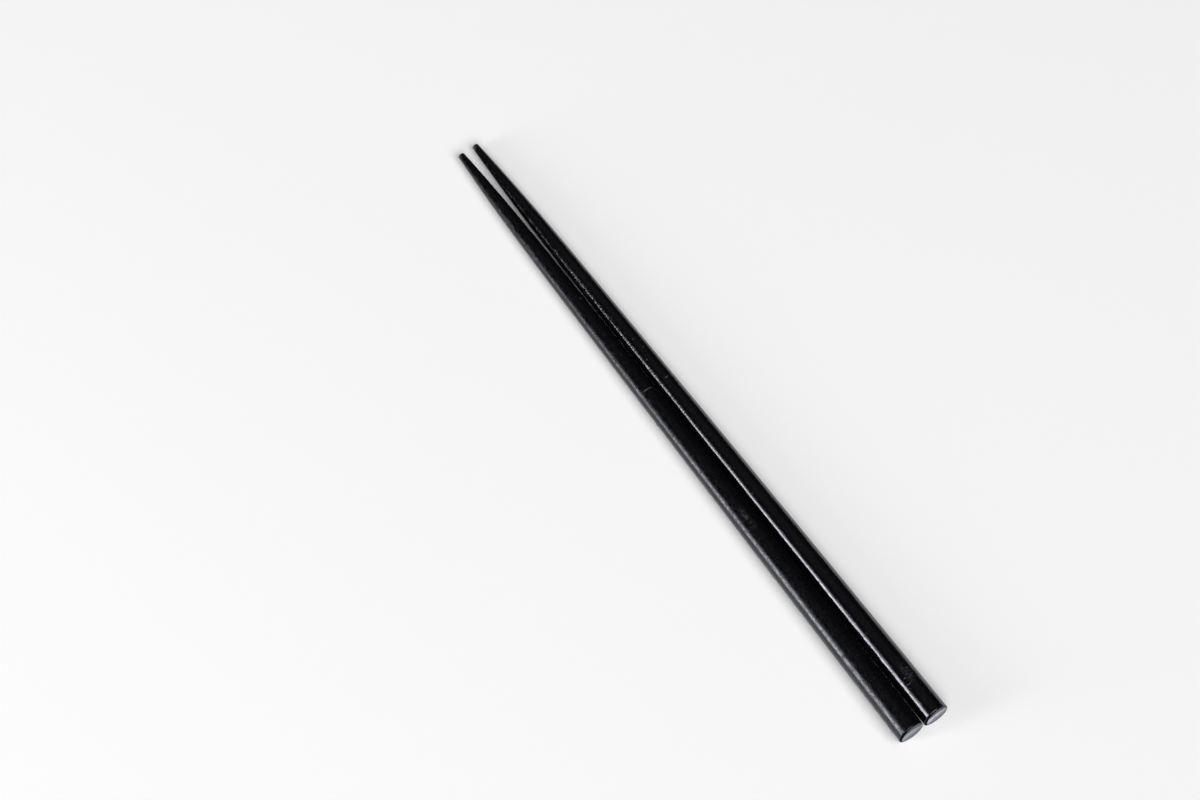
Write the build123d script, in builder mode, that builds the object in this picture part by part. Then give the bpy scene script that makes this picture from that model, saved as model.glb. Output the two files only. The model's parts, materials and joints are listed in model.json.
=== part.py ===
from build123d import *
from math import sqrt
import os

# Sizes are in millimetres. Stations along a stick are measured from its tip.
length = 225.0
tip_diameter = 2.0
neck_at = 19.0
shoulder_at = 47.0
shoulder_diameter = 5.45
handle_swell = 0.17
butt_diameter = 8.5
tip_rounding = 0.45
butt_rounding = 0.3

# The pair as it lies: the gap where the sticks are closest.
side_clearance = 0.05

LEFT = -1
RIGHT = 1

# The outer line's corners, as station and radius. The handle is a shallow curve that swells past a
# straight taper by handle_swell, and the eating end leaves it smoothly and turns down at the neck.
tip = Vector(0, tip_diameter / 2)
shoulder = Vector(shoulder_at, shoulder_diameter / 2)
butt = Vector(length, butt_diameter / 2)
grip = (shoulder + butt) / 2 + Vector(0, 2 * handle_swell)
neck = shoulder - (grip - shoulder) * (shoulder_at - neck_at) / (grip.X - shoulder_at)


def make_chopstick(plane):
    """One turned stick with its tip at the plane's origin and its butt along the plane's X."""
    axis = Axis(plane.origin, plane.x_dir)
    with BuildPart() as stick:
        with BuildSketch(plane):
            with BuildLine():
                Bezier(tip, neck, shoulder)
                Bezier(shoulder, grip, butt)
                Polyline(butt, (length, 0), (0, 0), tip)
            make_face()
        revolve(axis=axis)
        rims = stick.edges().filter_by(GeomType.CIRCLE).sort_by(axis)
        fillet(rims[0], tip_rounding)
        rims = stick.edges().filter_by(GeomType.CIRCLE).sort_by(axis)
        fillet(rims[-1], butt_rounding)
    return stick


def handle_bearing(station):
    """Radius of the handle at a station, and the direction of its outer line there."""
    share = (station - shoulder.X) / (butt.X - shoulder.X)
    near = shoulder + (grip - shoulder) * share
    far = grip + (butt - grip) * share
    radius = (near + (far - near) * share).Y
    return radius, (far - near).normalized()


def resting_plane(side, balance_at):
    """The plane through a lying stick's axis, with its origin at the tip.

    The stick rests on its side under its balance point, so its axis leans by the angle of the taper
    there. It lies along its neighbour in the same way, which is what spreads the two tips.
    """
    radius, slope = handle_bearing(balance_at)
    direction = Vector(sqrt(1 - 2 * slope.Y**2), side * slope.Y, slope.Y)
    height = radius * slope.X
    tip_centre = Vector(
        -direction.X * length / 2,
        side * (side_clearance / 2 + height) - direction.Y * balance_at,
        height - direction.Z * balance_at,
    )
    return Plane(origin=tip_centre, x_dir=direction, z_dir=Vector(0, 0, 1).cross(direction))


balance_at = make_chopstick(Plane.XY).part.center().X

left_chopstick = make_chopstick(resting_plane(LEFT, balance_at))
left_chopstick.part.label = "left_chopstick"

right_chopstick = make_chopstick(resting_plane(RIGHT, balance_at))
right_chopstick.part.label = "right_chopstick"

os.makedirs("parts", exist_ok=True)
export_step(left_chopstick.part, "parts/left_chopstick.step")
export_step(right_chopstick.part, "parts/right_chopstick.step")
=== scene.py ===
import json
import math

import bpy
import numpy as np
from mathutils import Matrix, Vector


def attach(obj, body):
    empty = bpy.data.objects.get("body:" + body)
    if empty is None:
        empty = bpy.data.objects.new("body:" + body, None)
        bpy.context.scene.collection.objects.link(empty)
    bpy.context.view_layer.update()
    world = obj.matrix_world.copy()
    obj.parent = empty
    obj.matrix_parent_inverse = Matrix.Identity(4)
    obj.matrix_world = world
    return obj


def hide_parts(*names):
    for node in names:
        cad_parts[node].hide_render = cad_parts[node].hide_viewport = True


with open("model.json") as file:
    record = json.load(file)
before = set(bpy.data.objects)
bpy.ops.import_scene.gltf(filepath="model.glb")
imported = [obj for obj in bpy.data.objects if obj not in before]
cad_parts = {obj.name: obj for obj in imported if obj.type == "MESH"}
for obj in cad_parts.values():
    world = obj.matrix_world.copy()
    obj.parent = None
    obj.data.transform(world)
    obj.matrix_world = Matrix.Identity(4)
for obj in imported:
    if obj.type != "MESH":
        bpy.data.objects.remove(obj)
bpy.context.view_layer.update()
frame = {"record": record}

MM = 0.001
MICRON = 1e-6

# The turned outline's corners as in the solids: station from the tip, and radius, in millimetres. The
# handle swells past a straight taper, and the eating end leaves it smoothly and turns down at the neck.
LENGTH = 225.0
NECK_AT = 19.0
HANDLE_SWELL = 0.17
TIP = np.array([0.0, 1.0])
SHOULDER = np.array([47.0, 2.725])
BUTT = np.array([LENGTH, 4.25])
GRIP = (SHOULDER + BUTT) / 2 + np.array([0.0, 2 * HANDLE_SWELL])
NECK = SHOULDER - (GRIP - SHOULDER) * (SHOULDER[0] - NECK_AT) / (GRIP[0] - SHOULDER[0])
MEAN_RADIUS = 3.6
TIP_ROUNDING = 0.45
BUTT_ROUNDING = 0.3

# The mesh's rings. Those of the body keep clear of the rounded rims, a dent has its own ones at steps of
# its width, and the flat ends have theirs at shares of their radius.
SEGMENTS = 84
RING_STEP = 0.28
CLEAR_OF_TIP_RIM = 0.12
CLEAR_OF_BUTT_RIM = 0.08
RIM_RINGS = 9
DENT_RINGS = np.linspace(-2, 2, 13)
TIP_DISC_RINGS = np.array([0.5, 0.95])
BUTT_DISC_RINGS = np.linspace(0.95, 0.2, 13)

# The butt's own lacquer covers its flat face and the half of its rounded rim next to it.
BUTT_FACE_RINGS = 1 + len(BUTT_DISC_RINGS) + RIM_RINGS // 2

# What the mesh's points carry for the lacquer: their place in the stick's own frame, and two shares.
OWN_PLACE = "stick_mm"
RUBBED = "rubbed"
CHIPPED_AND_GLINT = "chip_and_glint"

# How far the lacquer lies inside the solids at least, and how much deeper the brush's waves and the finer
# ripples take it on average. Both have a usual length along and around the stick, and each single wave
# varies from it. The ends are smooth, and the relief fades in from there. All in millimetres.
INSET = 0.012
END_INSET = 0.004
BRUSH = {"count": 40, "along": 26, "around": 3.6}
BRUSH_DEPTH = 0.007
RIPPLES = {"count": 60, "along": 4.5, "around": 1.9}
RIPPLE_DEPTH = 0.006
WAVE_VARIETY = (0.6, 1.8)
SMOOTH_TIP = 0.5
SMOOTH_BUTT = 0.4
RELIEF_FADE = 2

# How strong the ripples are along a stick: stations in millimetres, and shares.
RIPPLE_ALONG = ([0, 60, 100, 120, 160, 180, 225], [1.0, 1.0, 0.9, 0.45, 0.45, 1.0, 1.0])

# The finer bumps of the lacquer also fall to their least share and rise again between such stations.
BUMPS_FALL = (85, 125)
BUMPS_RISE = (150, 180)
LEAST_BUMPS = 0.35

# The painted glints of the eating end, light flecks along the grain, fade out between these stations,
# and towards the right between these distances from the middle.
GLINTS_END = (50, 90)
GLINTS_LEFT = (-1.6, -0.7)

# The degrees round the stick over which a dent and a scuff fade out. Along the stick a scuff is whole
# within a third of its reach, and falls to nought over the rest.
DENT_FADE = 5
SCUFF_FADE = 14
SCUFF_FALL = 1.5

# How much of a rubbed place turns pale, and how much rougher it is.
RUBBED_PALE = 0.3
RUBBED_DULL = 0.35

# The butt's face is sanded back towards its top, and is a dull deep black at its upper left edge. Each
# place lies beyond a circle on the face: its centre to the right and up, and its radius in millimetres.
FLAT_WITHIN = ((0.5, -4.0), 6.0)
GLOSSY_WITHIN = ((1.05, -0.75), 4.35)
SANDED_SLOPE = 0.14
SANDED_DEPTH = 3

# The edge of such a place fades between these distances beyond its circle, and wanders inwards from
# there by a part of the third one.
EDGE_FADES = (0.15, 0.65)
EDGE_WANDERS = 0.8

# Painted sheen and shade on the face: it is painted paler this way, to the right and up, and darker the
# other way, between these places.
PAINTED_SHEEN_TOWARDS = (-0.3, 0.9)
PAINTED_SHEEN_BETWEEN = (-2.4, 1.2)

# The lacquer's blacks along the grain and on the end grain, and the colour where it is chipped or rubbed
# through, which also paints the glints of the dents and of the eating end. The end grain's lacquer has its
# own refractive index and tint.
SIDE_BLACKS = ((0.0008, 0.0008, 0.0012), (0.0026, 0.0024, 0.0030))
END_BLACK = (0.003, 0.004, 0.007)
UNDERCOAT_AND_GLINT = (0.11, 0.115, 0.13)
END_IOR = 1.6
END_TINT = (0.87, 0.88, 1.0)

# The small scratched ring: its radius, and how far it is full and has faded to either side. Millimetres.
SWIRL_RADIUS = 1.1
SWIRL_FULL = 0.05
SWIRL_FADED = 0.25

# Each stick as the photograph shows it: the seed of its noise, its lacquer's range of roughness,
# refractive index and tint, and its butt's pale colour, partly rubbed end grain and partly painted sheen.
# Dents have a station, width and depth in millimetres, an arc in degrees, where 0 is on top and more is to
# the right, and a share of lacquer that is chipped off and painted pale, which also paints the glint of
# the dent's walls. Scuffs have a reach along the stick. The swirl has its middle in the stick's own frame.
STICKS = {
    "left": {
        "seed": 7,
        "roughness": (0.16, 0.36),
        "ior": 1.6,
        "tint": (0.56, 0.57, 0.66),
        "face": (0.24, 0.285, 0.38),
        "dents": [
            {"at": 59.4, "width": 0.25, "from": 21, "to": 29, "depth": 0.07, "worn_and_glint": 1.0},
            {"at": 94.6, "width": 0.13, "from": -29, "to": 29, "depth": 0.06, "worn_and_glint": 0.65},
        ],
        "scuffs": [
            {"at": 0.5, "reach": 0.7, "from": -60, "to": -10},
            {"at": 144.5, "reach": 5, "from": -13, "to": 10},
        ],
        "swirl": None,
    },
    "right": {
        "seed": 19,
        "roughness": (0.06, 0.2),
        "ior": 1.69,
        "tint": (0.87, 0.88, 1.0),
        "face": (0.455, 0.485, 0.63),
        "dents": [
            {"at": 79.2, "width": 0.2, "from": -10, "to": -4, "depth": 0.06, "worn_and_glint": 1.0},
            {"at": 82.8, "width": 0.2, "from": 8, "to": 14, "depth": 0.06, "worn_and_glint": 1.0},
            {"at": 86.8, "width": 0.2, "from": -23, "to": -17, "depth": 0.05, "worn_and_glint": 1.0},
            {"at": 94.7, "width": 0.13, "from": -3, "to": 15, "depth": 0.06, "worn_and_glint": 1.0},
        ],
        "scuffs": [
            {"at": 0.8, "reach": 1.2, "from": -50, "to": 20},
            {"at": 210.5, "reach": 4, "from": -7, "to": 25},
        ],
        "swirl": (212.5, -1.29, 3.97),
    },
}

# The floor is matt white paper, out to this many metres to each side.
PAPER = (0.93, 0.93, 0.93)
FLOOR_REACH = 5.0

# The window stands upright on the sticks' left: its place and width in metres, and its height from the
# floor in steps, brightest below, each with its radiance.
WINDOW_PLACE = (-0.275, -1.2)
WINDOW_WIDTH = 0.35
WINDOW_STEPS = [(0.0, 0.48, 10.4), (0.48, 0.7, 5.6), (0.7, 0.98, 1.5)]

# The broad light beyond the butts, the faint one above, and the dark room, in metres and radiance. A
# panel gives off that many watts from each square metre for each unit of radiance.
FILL = {"centre": (3.8, -0.5, 5.0), "aim_at": (0, 0, 0), "width": 6.8, "height": 5.2, "radiance": 3.77}
CEILING = {
    "centre": (-0.5, 0.4, 1.6),
    "aim_at": (-0.5, 0.4, 0),
    "width": 1.6,
    "height": 1.9,
    "radiance": 0.037,
}
ROOM_RADIANCE = 0.02
WATTS_PER_RADIANCE = 4

# The photograph's view, from far above with a long lens: degrees round and above the pair, metres from the
# point in the middle of the picture, and the lens and the sensor's width in millimetres.
VIEW_AZIMUTH = 53.922
VIEW_ELEVATION = 67.792
VIEW_DISTANCE = 2.34183
VIEW_CENTRE = (-0.02418, -0.01581, 0.004)
LENS = 240
SENSOR_WIDTH = 36

# The span that a share runs over where it rises, and where it falls.
RISING = (0, 1)
FALLING = (1, 0)


def bezier(a, b, c, count):
    """Points of a quadratic curve."""
    t = np.linspace(0, 1, count)[:, None]
    return (1 - t) ** 2 * a + 2 * t * (1 - t) * b + t**2 * c


OUTLINE = np.vstack([bezier(TIP, NECK, SHOULDER, 400), bezier(SHOULDER, GRIP, BUTT, 800)[1:]])


def radius_at(station):
    """Radius of the outline at a station, both in millimetres."""
    return np.interp(station, OUTLINE[:, 0], OUTLINE[:, 1])


def rounded_rim(disc_at, inward, rounding):
    """Stations and radii of the rounding between an end disc and the outline, from the disc on."""
    centre_at = disc_at + inward * rounding
    step = 0.1
    slope = (radius_at(centre_at + step) - radius_at(centre_at - step)) / (2 * step)
    centre_radius = radius_at(centre_at) - rounding * math.sqrt(1 + slope**2)
    last = math.pi / 2 - inward * math.atan(slope)
    turn = np.linspace(0, last, RIM_RINGS)
    stations = centre_at - inward * rounding * np.cos(turn)
    return stations, centre_radius + rounding * np.sin(turn)


def stick_rings(dents):
    """Stations and radii of every ring from the tip's middle to the butt's middle."""
    tip_at, butt_at = END_INSET, LENGTH - END_INSET
    tip_stations, tip_radii = rounded_rim(tip_at, 1, TIP_ROUNDING)
    butt_stations, butt_radii = rounded_rim(butt_at, -1, BUTT_ROUNDING)
    body = np.arange(tip_stations[-1] + CLEAR_OF_TIP_RIM, butt_stations[-1] - CLEAR_OF_BUTT_RIM, RING_STEP)
    fine = [dent["at"] + DENT_RINGS * dent["width"] for dent in dents]
    body = np.unique(np.round(np.concatenate([body, *fine]), 3))
    tip_disc = tip_radii[0] * TIP_DISC_RINGS
    butt_disc = butt_radii[0] * BUTT_DISC_RINGS
    tip_face = np.full(len(tip_disc), tip_at)
    butt_face = np.full(len(butt_disc), butt_at)
    stations = np.concatenate([tip_face, tip_stations, body, butt_stations[::-1], butt_face])
    radii = np.concatenate([tip_disc, tip_radii, radius_at(body), butt_radii[::-1], butt_disc])
    return stations, radii


def waves(rng, stations, angles, count, along, around):
    """Smooth seeded noise from -1 to 1 on the stick, its waves about along by around millimetres."""
    total = np.zeros((len(stations), len(angles)))
    for _ in range(count):
        pace = rng.choice([-1, 1]) * math.tau / (along * rng.uniform(*WAVE_VARIETY))
        turns = round(math.tau * MEAN_RADIUS / (around * rng.uniform(*WAVE_VARIETY)))
        phase = rng.uniform(0, math.tau)
        total += np.sin(pace * stations[:, None] + turns * angles[None, :] + phase)
    usual_peak = 1.6 * math.sqrt(count)
    return np.clip(total / usual_peak, -1, 1)


def relief(rng, stations, angles, dents):
    """How far the surface lies inside the outline, in millimetres."""
    brush = waves(rng, stations, angles, **BRUSH)
    ripples = waves(rng, stations, angles, **RIPPLES)
    strength = np.interp(stations, *RIPPLE_ALONG)[:, None]
    depth = INSET + BRUSH_DEPTH * (1 + brush) + RIPPLE_DEPTH * strength * (1 + ripples)
    for dent in dents:
        depth = depth + dent["depth"] * dent_shape(stations, angles, dent)
    from_end = np.minimum(stations - SMOOTH_TIP, LENGTH - SMOOTH_BUTT - stations)
    return INSET + (depth - INSET) * np.clip(from_end / RELIEF_FADE, 0, 1)[:, None]


def arc_mask(angles, start, end, fade):
    """One between two angles in degrees round the stick, and nought outside them."""
    away = np.degrees(np.angle(np.exp(1j * (angles - math.radians((start + end) / 2)))))
    return np.clip(((end - start) / 2 - np.abs(away)) / fade + 0.5, 0, 1)[None, :]


def dent_shape(stations, angles, dent):
    """One at a dent's bottom, falling to nought round it."""
    across = np.exp(-(((stations - dent["at"]) / dent["width"]) ** 2))[:, None]
    return across * arc_mask(angles, dent["from"], dent["to"], DENT_FADE)


def chip_and_glint_mask(stations, angles, dents):
    """How far the lacquer is chipped off at each point, painted pale as a painted glint too, from nought
    to one.
    """
    chip_and_glint = np.zeros((len(stations), len(angles)))
    for dent in dents:
        chip_and_glint = np.maximum(chip_and_glint, dent["worn_and_glint"] * dent_shape(stations, angles, dent))
    return chip_and_glint


def scuff_mask(stations, angles, scuffs):
    """How rubbed each point is, from nought to one."""
    rubbed = np.zeros((len(stations), len(angles)))
    for scuff in scuffs:
        away = np.abs(stations - scuff["at"])
        along = np.clip(SCUFF_FALL - SCUFF_FALL * away / scuff["reach"], 0, 1)[:, None]
        rubbed = np.maximum(rubbed, along * arc_mask(angles, scuff["from"], scuff["to"], SCUFF_FADE))
    return rubbed


def sand_butt(points):
    """Moves the butt's face back where it is sanded, and what lies behind it along with it."""
    behind = np.clip((points[..., 0] - LENGTH + SANDED_DEPTH) / SANDED_DEPTH, 0, 1)
    centre, radius = FLAT_WITHIN
    sanded = np.maximum(np.linalg.norm(points[..., 1:] - centre, axis=-1) - radius, 0)
    points[..., 0] -= behind * SANDED_SLOPE * sanded


def stick_points(stations, radii, angles):
    """Points of the rings and the ends' middles in the stick's own frame, in millimetres.

    X runs from the tip to the butt, Y to the right and Z up, and the angles from Z to Y.
    """
    points = np.empty((len(stations), len(angles), 3))
    points[..., 0] = stations[:, None]
    points[..., 1] = radii * np.sin(angles)
    points[..., 2] = radii * np.cos(angles)
    sand_butt(points)
    return np.vstack([points.reshape(-1, 3), [stations[0], 0, 0], [stations[-1], 0, 0]])


def grid_faces(rings):
    """Faces over the rings, with a fan at each end, in order from the tip to the butt's middle."""
    corner = np.arange(rings * SEGMENTS).reshape(rings, SEGMENTS)
    after = np.roll(corner, -1, axis=1)
    first, last = rings * SEGMENTS, rings * SEGMENTS + 1
    faces = [[first, a, b] for a, b in zip(corner[0], after[0])]
    quads = np.stack([corner[:-1], corner[1:], after[1:], after[:-1]], axis=-1)
    faces += quads.reshape(-1, 4).tolist()
    faces += [[last, b, a] for a, b in zip(corner[-1], after[-1])]
    return faces


def stick_frame(mount):
    """The rows that turn a stick's own frame into the shared one, and its tip's place in metres."""
    along = np.array(mount["axis"]) / np.linalg.norm(mount["axis"])
    right = np.cross([0, 0, 1], along)
    right /= np.linalg.norm(right)
    turn = np.array([along, right, np.cross(along, right)])
    return turn, np.array(mount["pos_m"]) - along * LENGTH * MM


def new_object(name, data):
    """An object of that name in the scene."""
    made = bpy.data.objects.new(name, data)
    bpy.context.scene.collection.objects.link(made)
    return made


def carry_share(mesh, name, share):
    """Gives the rings' points a share that the lacquer reads, and the ends' middles none of it."""
    values = np.append(share.ravel(), [0, 0])
    mesh.attributes.new(name, "FLOAT", "POINT").data.foreach_set("value", values)


def make_stick(name, mount, traits, materials):
    """One stick as a fine mesh, with the lacquers of its side and of its butt's face."""
    rng = np.random.default_rng(traits["seed"])
    dents = traits["dents"]
    stations, radii = stick_rings(dents)
    angles = np.arange(SEGMENTS) * math.tau / SEGMENTS
    points = stick_points(stations, radii[:, None] - relief(rng, stations, angles, dents), angles)
    faces = grid_faces(len(stations))
    turn, origin = stick_frame(mount)

    mesh = bpy.data.meshes.new(name)
    mesh.from_pydata((points * MM @ turn + origin).tolist(), [], faces)
    mesh.shade_smooth()
    places = mesh.attributes.new(OWN_PLACE, "FLOAT_VECTOR", "POINT")
    places.data.foreach_set("vector", points.astype(np.float32).ravel())
    carry_share(mesh, RUBBED, scuff_mask(stations, angles, traits["scuffs"]))
    carry_share(mesh, CHIPPED_AND_GLINT, chip_and_glint_mask(stations, angles, dents))

    for material in materials:
        mesh.materials.append(material)
    is_butt = np.zeros(len(faces), int)
    is_butt[-BUTT_FACE_RINGS * SEGMENTS :] = 1
    mesh.polygons.foreach_set("material_index", is_butt)
    return new_object(name, mesh)


def new_material(name):
    """A material with only a Principled shader, its tree and the shader."""
    material = bpy.data.materials.new(name)
    material.use_nodes = True
    tree = material.node_tree
    tree.nodes.clear()
    output = tree.nodes.new("ShaderNodeOutputMaterial")
    shader = tree.nodes.new("ShaderNodeBsdfPrincipled")
    tree.links.new(shader.outputs["BSDF"], output.inputs["Surface"])
    return material, tree, shader


def own_place(tree):
    """The place on the stick, in its own frame."""
    place = tree.nodes.new("ShaderNodeAttribute")
    place.attribute_name = OWN_PLACE
    return place.outputs["Vector"]


def carried_share(tree, name):
    """A share that the mesh carries on its points."""
    share = tree.nodes.new("ShaderNodeAttribute")
    share.attribute_name = name
    return share.outputs["Fac"]


def coordinate(tree, letter):
    """How far along (X), to the right (Y) or up (Z) the place on the stick is, in millimetres."""
    parts = tree.nodes.new("ShaderNodeSeparateXYZ")
    tree.links.new(own_place(tree), parts.inputs["Vector"])
    return parts.outputs[letter]


def distance(tree, point):
    """How far the place on the stick is from a point, in millimetres."""
    node = tree.nodes.new("ShaderNodeVectorMath")
    node.operation = "DISTANCE"
    tree.links.new(own_place(tree), node.inputs[0])
    node.inputs[1].default_value = point
    return node.outputs["Value"]


def reach_towards(tree, direction):
    """How far the place lies towards a direction to the right and up, times that direction's length."""
    node = tree.nodes.new("ShaderNodeVectorMath")
    node.operation = "DOT_PRODUCT"
    tree.links.new(own_place(tree), node.inputs[0])
    node.inputs[1].default_value = (0, *direction)
    return node.outputs["Value"]


def spots(tree, size, detail, seed):
    """Noise on a stick, its spots' size in millimetres given along, to the right and up.

    Each seed shows another part of the noise.
    """
    mapping = tree.nodes.new("ShaderNodeMapping")
    mapping.inputs["Location"].default_value = (seed, seed * 0.7, seed * 1.3)
    mapping.inputs["Scale"].default_value = [1 / length for length in size]
    texture = tree.nodes.new("ShaderNodeTexNoise")
    texture.inputs["Scale"].default_value = 1
    texture.inputs["Detail"].default_value = detail
    tree.links.new(own_place(tree), mapping.inputs["Vector"])
    tree.links.new(mapping.outputs["Vector"], texture.inputs["Vector"])
    return texture.outputs["Fac"]


def spread(tree, value, span, onto):
    """A value, its span stretched smoothly onto another one and held at the ends."""
    node = tree.nodes.new("ShaderNodeMapRange")
    node.interpolation_type = "SMOOTHSTEP"
    for name, number in zip(("From Min", "From Max", "To Min", "To Max"), (*span, *onto)):
        node.inputs[name].default_value = number
    tree.links.new(value, node.inputs["Value"])
    return node.outputs["Result"]


def join(tree, kind, first, *others):
    """Values joined by a sum, product or largest one; each may be a plain number."""
    for other in others:
        node = tree.nodes.new("ShaderNodeMath")
        node.operation = kind
        for socket, value in zip(node.inputs, (first, other)):
            if isinstance(value, (int, float)):
                socket.default_value = value
            else:
                tree.links.new(value, socket)
        first = node.outputs["Value"]
    return first


def blend(tree, share, first, second):
    """A colour between two, by a share."""
    node = tree.nodes.new("ShaderNodeMix")
    node.data_type = "RGBA"
    for name, colour in (("A", first), ("B", second)):
        if isinstance(colour, tuple):
            node.inputs[name].default_value = (*colour, 1)
        else:
            tree.links.new(colour, node.inputs[name])
    tree.links.new(share, node.inputs["Factor"])
    return node.outputs["Result"]


def bump(tree, height, microns, below=None):
    """A bump of that height, on top of the one below."""
    node = tree.nodes.new("ShaderNodeBump")
    node.inputs["Strength"].default_value = 1
    node.inputs["Distance"].default_value = microns * MICRON
    tree.links.new(height, node.inputs["Height"])
    if below is not None:
        tree.links.new(below, node.inputs["Normal"])
    return node.outputs["Normal"]


def unevenness(tree):
    """How uneven the lacquer is along the stick: least in the middle of the handle."""
    station = coordinate(tree, "X")
    eating_end = spread(tree, station, BUMPS_FALL, FALLING)
    butt_end = spread(tree, station, BUMPS_RISE, RISING)
    return join(tree, "ADD", join(tree, "MAXIMUM", eating_end, butt_end), LEAST_BUMPS)


def eating_end_glints(tree, seed):
    """Painted glints: short light flecks along the grain, on the lit left of the eating end."""
    noise = spots(tree, size=(1.6, 0.4, 0.4), detail=1, seed=seed + 51)
    glints = spread(tree, noise, (0.62, 0.74), (0, 0.45))
    # Painted glints, kept to the lit left side and to the eating end.
    eating_end = spread(tree, coordinate(tree, "X"), GLINTS_END, FALLING)
    left = spread(tree, coordinate(tree, "Y"), GLINTS_LEFT, FALLING)
    return join(tree, "MULTIPLY", eating_end, left, glints)


def swirl(tree, centre):
    """A small scratched ring round a point of the surface, broken into strokes."""
    apart = distance(tree, centre)
    outer = spread(tree, apart, (SWIRL_RADIUS + SWIRL_FULL, SWIRL_RADIUS + SWIRL_FADED), FALLING)
    inner = spread(tree, apart, (SWIRL_RADIUS - SWIRL_FADED, SWIRL_RADIUS - SWIRL_FULL), RISING)
    strokes = spread(tree, spots(tree, size=(0.9, 0.7, 0.7), detail=1, seed=43), (0.45, 0.6), RISING)
    return join(tree, "MULTIPLY", outer, inner, strokes)


def rubbed_share(tree, swirl_at):
    """How rubbed the surface is: the scuffed patches, broken up by fine scratches, and the swirl."""
    scratches = spread(tree, spots(tree, size=(0.4, 1.5, 1.5), detail=2, seed=31), (0.42, 0.66), (0, 0.75))
    rubbed = join(tree, "MULTIPLY", carried_share(tree, RUBBED), scratches)
    if swirl_at:
        rubbed = join(tree, "MAXIMUM", rubbed, swirl(tree, swirl_at))
    return rubbed


def chip_and_glint_share(tree):
    """How far the lacquer is chipped off and painted pale, which also paints the glint of the dents'
    walls: the dents, broken into short dashes.
    """
    dashes = spread(tree, spots(tree, size=(0.8, 0.55, 0.55), detail=1, seed=47), (0.4, 0.58), (0.25, 1))
    return join(tree, "MULTIPLY", carried_share(tree, CHIPPED_AND_GLINT), dashes)


def side_lacquer(name, traits):
    """Thin black lacquer on a turned stick, with the wood's straight grain showing through."""
    material, tree, shader = new_material(name)
    seed = traits["seed"]
    rubbed = rubbed_share(tree, traits["swirl"])

    grain = spots(tree, size=(9, 0.45, 0.45), detail=3, seed=seed)
    rubbed_pale = join(tree, "MULTIPLY", rubbed, RUBBED_PALE)
    # Pale where the lacquer is chipped or rubbed, plus painted glints on the dents and the eating end.
    worn_and_glint = join(tree, "MAXIMUM", chip_and_glint_share(tree), rubbed_pale, eating_end_glints(tree, seed))
    colour = blend(tree, worn_and_glint, blend(tree, grain, *SIDE_BLACKS), UNDERCOAT_AND_GLINT)
    tree.links.new(colour, shader.inputs["Base Color"])

    mottle = spots(tree, size=(1.4, 0.6, 0.6), detail=3, seed=seed + 8)
    dust = spots(tree, size=(0.9, 0.55, 0.55), detail=2, seed=seed + 13)
    dull_specks = spread(tree, dust, (0.6, 0.7), (0, 0.22))
    dulled = join(tree, "MAXIMUM", dull_specks, join(tree, "MULTIPLY", rubbed, RUBBED_DULL))
    roughness = join(tree, "ADD", spread(tree, mottle, (0.3, 0.7), traits["roughness"]), dulled)
    tree.links.new(roughness, shader.inputs["Roughness"])
    shader.inputs["IOR"].default_value = traits["ior"]
    shader.inputs["Specular Tint"].default_value = (*traits["tint"], 1)

    uneven = unevenness(tree)
    pebbles = join(tree, "MULTIPLY", spots(tree, size=(1.3, 0.8, 0.8), detail=2, seed=seed + 2), uneven)
    streaks = join(tree, "MULTIPLY", spots(tree, size=(4, 0.45, 0.45), detail=2, seed=seed + 5), uneven)
    turning_marks = spots(tree, size=(0.4, 0.8, 0.8), detail=1, seed=seed + 21)
    surface = bump(tree, pebbles, microns=16)
    surface = bump(tree, streaks, microns=18, below=surface)
    surface = bump(tree, turning_marks, microns=22, below=surface)
    tree.links.new(surface, shader.inputs["Normal"])
    return material


def within(tree, circle, cloud):
    """One inside a circle on the butt's face, and nought beyond its slightly wandering edge."""
    (right, up), radius = circle
    wander = join(tree, "MULTIPLY", cloud, EDGE_WANDERS)
    apart = join(tree, "ADD", distance(tree, (LENGTH, right, up)), wander)
    return spread(tree, apart, [radius + away for away in EDGE_FADES], FALLING)


def end_lacquer(name, traits):
    """The butt's face: the end grain is rubbed pale in its flat part, and painted sheen and shade make it
    paler towards the top right and darker towards the bottom.
    """
    material, tree, shader = new_material(name)
    seed = traits["seed"]
    cloud = spots(tree, size=(5, 1.6, 1.6), detail=3, seed=seed + 23)
    speckles = spots(tree, size=(5, 0.9, 0.7), detail=3, seed=seed + 37)
    patches = join(tree, "ADD", join(tree, "MULTIPLY", speckles, 0.5), join(tree, "MULTIPLY", cloud, 0.5))
    pale = spread(tree, patches, (0.4, 0.58), (0.45, 1))
    # Painted sheen: paler towards the top right, and painted shade towards the bottom.
    painted_sheen = spread(tree, reach_towards(tree, PAINTED_SHEEN_TOWARDS), PAINTED_SHEEN_BETWEEN, RISING)
    flat = within(tree, FLAT_WITHIN, cloud)
    glossy = within(tree, GLOSSY_WITHIN, cloud)
    pale = join(tree, "MULTIPLY", pale, painted_sheen, flat, glossy)

    # The face's pale colour is partly rubbed end grain and partly painted sheen.
    tree.links.new(blend(tree, pale, END_BLACK, traits["face"]), shader.inputs["Base Color"])
    tree.links.new(join(tree, "MULTIPLY", glossy, 0.5), shader.inputs["Specular IOR Level"])
    tree.links.new(spread(tree, cloud, (0.3, 0.7), (0.26, 0.4)), shader.inputs["Roughness"])
    shader.inputs["IOR"].default_value = END_IOR
    shader.inputs["Specular Tint"].default_value = (*END_TINT, 1)

    sanding = spots(tree, size=(5, 6, 1.1), detail=4, seed=seed + 17)
    pores = spots(tree, size=(3, 0.35, 0.35), detail=2, seed=seed + 29)
    surface = bump(tree, sanding, microns=90)
    surface = bump(tree, pores, microns=14, below=surface)
    tree.links.new(surface, shader.inputs["Normal"])
    return material


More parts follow.
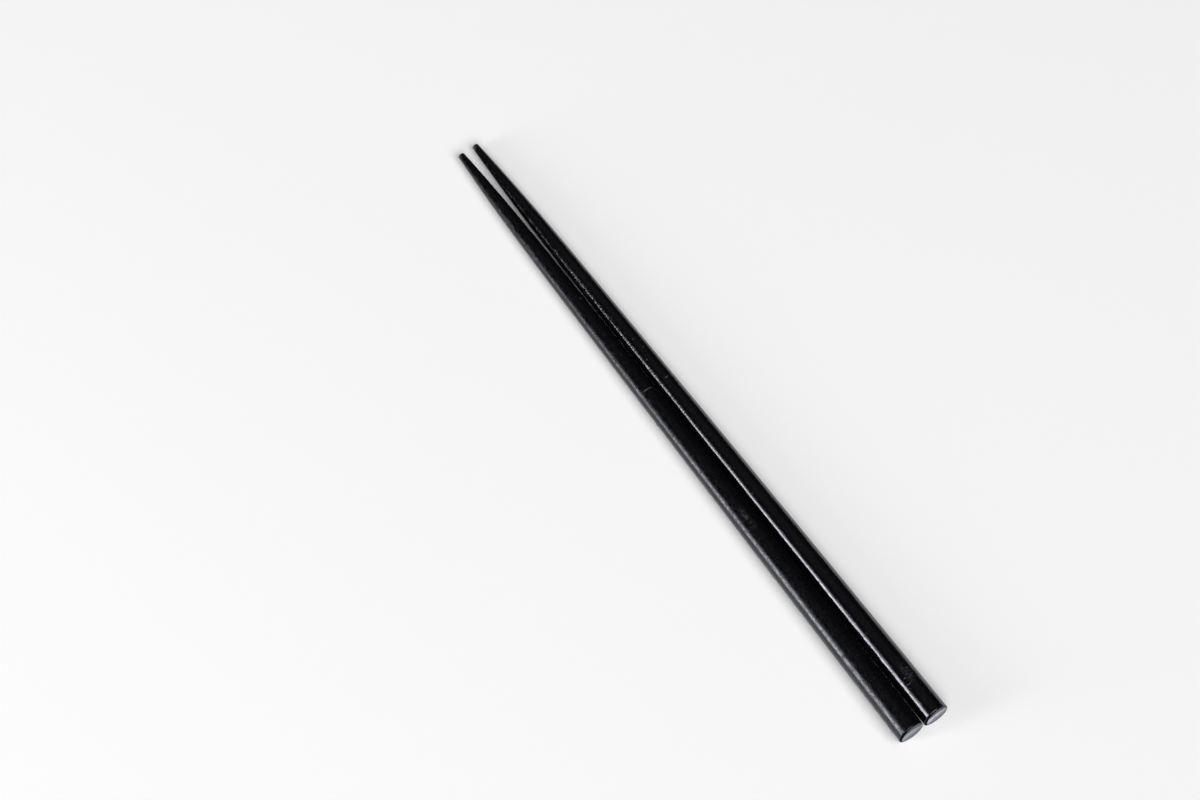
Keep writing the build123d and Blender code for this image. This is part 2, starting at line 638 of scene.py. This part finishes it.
def make_floor():
    """A wide sheet of matt white paper."""
    material, tree, shader = new_material("floor_paper")
    shader.inputs["Base Color"].default_value = (*PAPER, 1)
    shader.inputs["Roughness"].default_value = 0.9
    shader.inputs["Specular IOR Level"].default_value = 0.2
    corners = [(x * FLOOR_REACH, y * FLOOR_REACH, 0) for x, y in ((-1, -1), (1, -1), (1, 1), (-1, 1))]
    mesh = bpy.data.meshes.new("floor")
    mesh.from_pydata(corners, [], [(0, 1, 2, 3)])
    mesh.materials.append(material)
    floor = new_object("floor", mesh)


def make_panel(name, centre, aim_at, width, height, radiance):
    """A rectangular soft white light of that radiance, its middle at centre."""
    light = bpy.data.lights.new(name, "AREA")
    light.shape = "RECTANGLE"
    light.size = width
    light.size_y = height
    light.energy = WATTS_PER_RADIANCE * radiance * width * height
    panel = new_object(name, light)
    panel.location = centre
    aim = Vector(aim_at) - Vector(centre)
    panel.rotation_euler = aim.to_track_quat("-Z", "Y").to_euler()


def make_lights():
    """A dark studio: an upright window on the left, and soft lights beyond the butts and above."""
    for number, (bottom, top, radiance) in enumerate(WINDOW_STEPS):
        centre = Vector((*WINDOW_PLACE, (bottom + top) / 2))
        level = centre + Vector((0, 1, 0))
        make_panel(f"window_{number}", centre, level, WINDOW_WIDTH, top - bottom, radiance)
    make_panel("fill", **FILL)
    make_panel("ceiling", **CEILING)
    world = bpy.data.worlds.new("studio")
    world.use_nodes = True
    background = world.node_tree.nodes["Background"]
    background.inputs["Color"].default_value = (1, 1, 1, 1)
    background.inputs["Strength"].default_value = ROOM_RADIANCE
    bpy.context.scene.world = world


def make_camera():
    """The photograph's view, from far above with a long lens."""
    azimuth, elevation = math.radians(VIEW_AZIMUTH), math.radians(VIEW_ELEVATION)
    level = math.cos(elevation)
    back = Vector((math.sin(azimuth) * level, -math.cos(azimuth) * level, math.sin(elevation)))
    data = bpy.data.cameras.new("camera")
    data.sensor_width = SENSOR_WIDTH
    data.lens = LENS
    data.clip_start = 0.05
    data.clip_end = 50
    camera = new_object("camera", data)
    camera.location = Vector(VIEW_CENTRE) + back * VIEW_DISTANCE
    camera.rotation_euler = back.to_track_quat("Z", "Y").to_euler()
    bpy.context.scene.camera = camera


mounts = {mount["name"]: mount for mount in frame["record"]["mounts"]}
for side, traits in STICKS.items():
    lacquers = (side_lacquer(f"{side}_side_lacquer", traits), end_lacquer(f"{side}_end_lacquer", traits))
    stick = make_stick(f"{side}_stick_lacquered", mounts[f"{side}_butt_face"], traits, lacquers)
    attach(stick, "root")
    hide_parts(f"{side}_chopstick")

make_floor()
make_lights()
make_camera()

bpy.context.scene.view_settings.view_transform = "Standard"
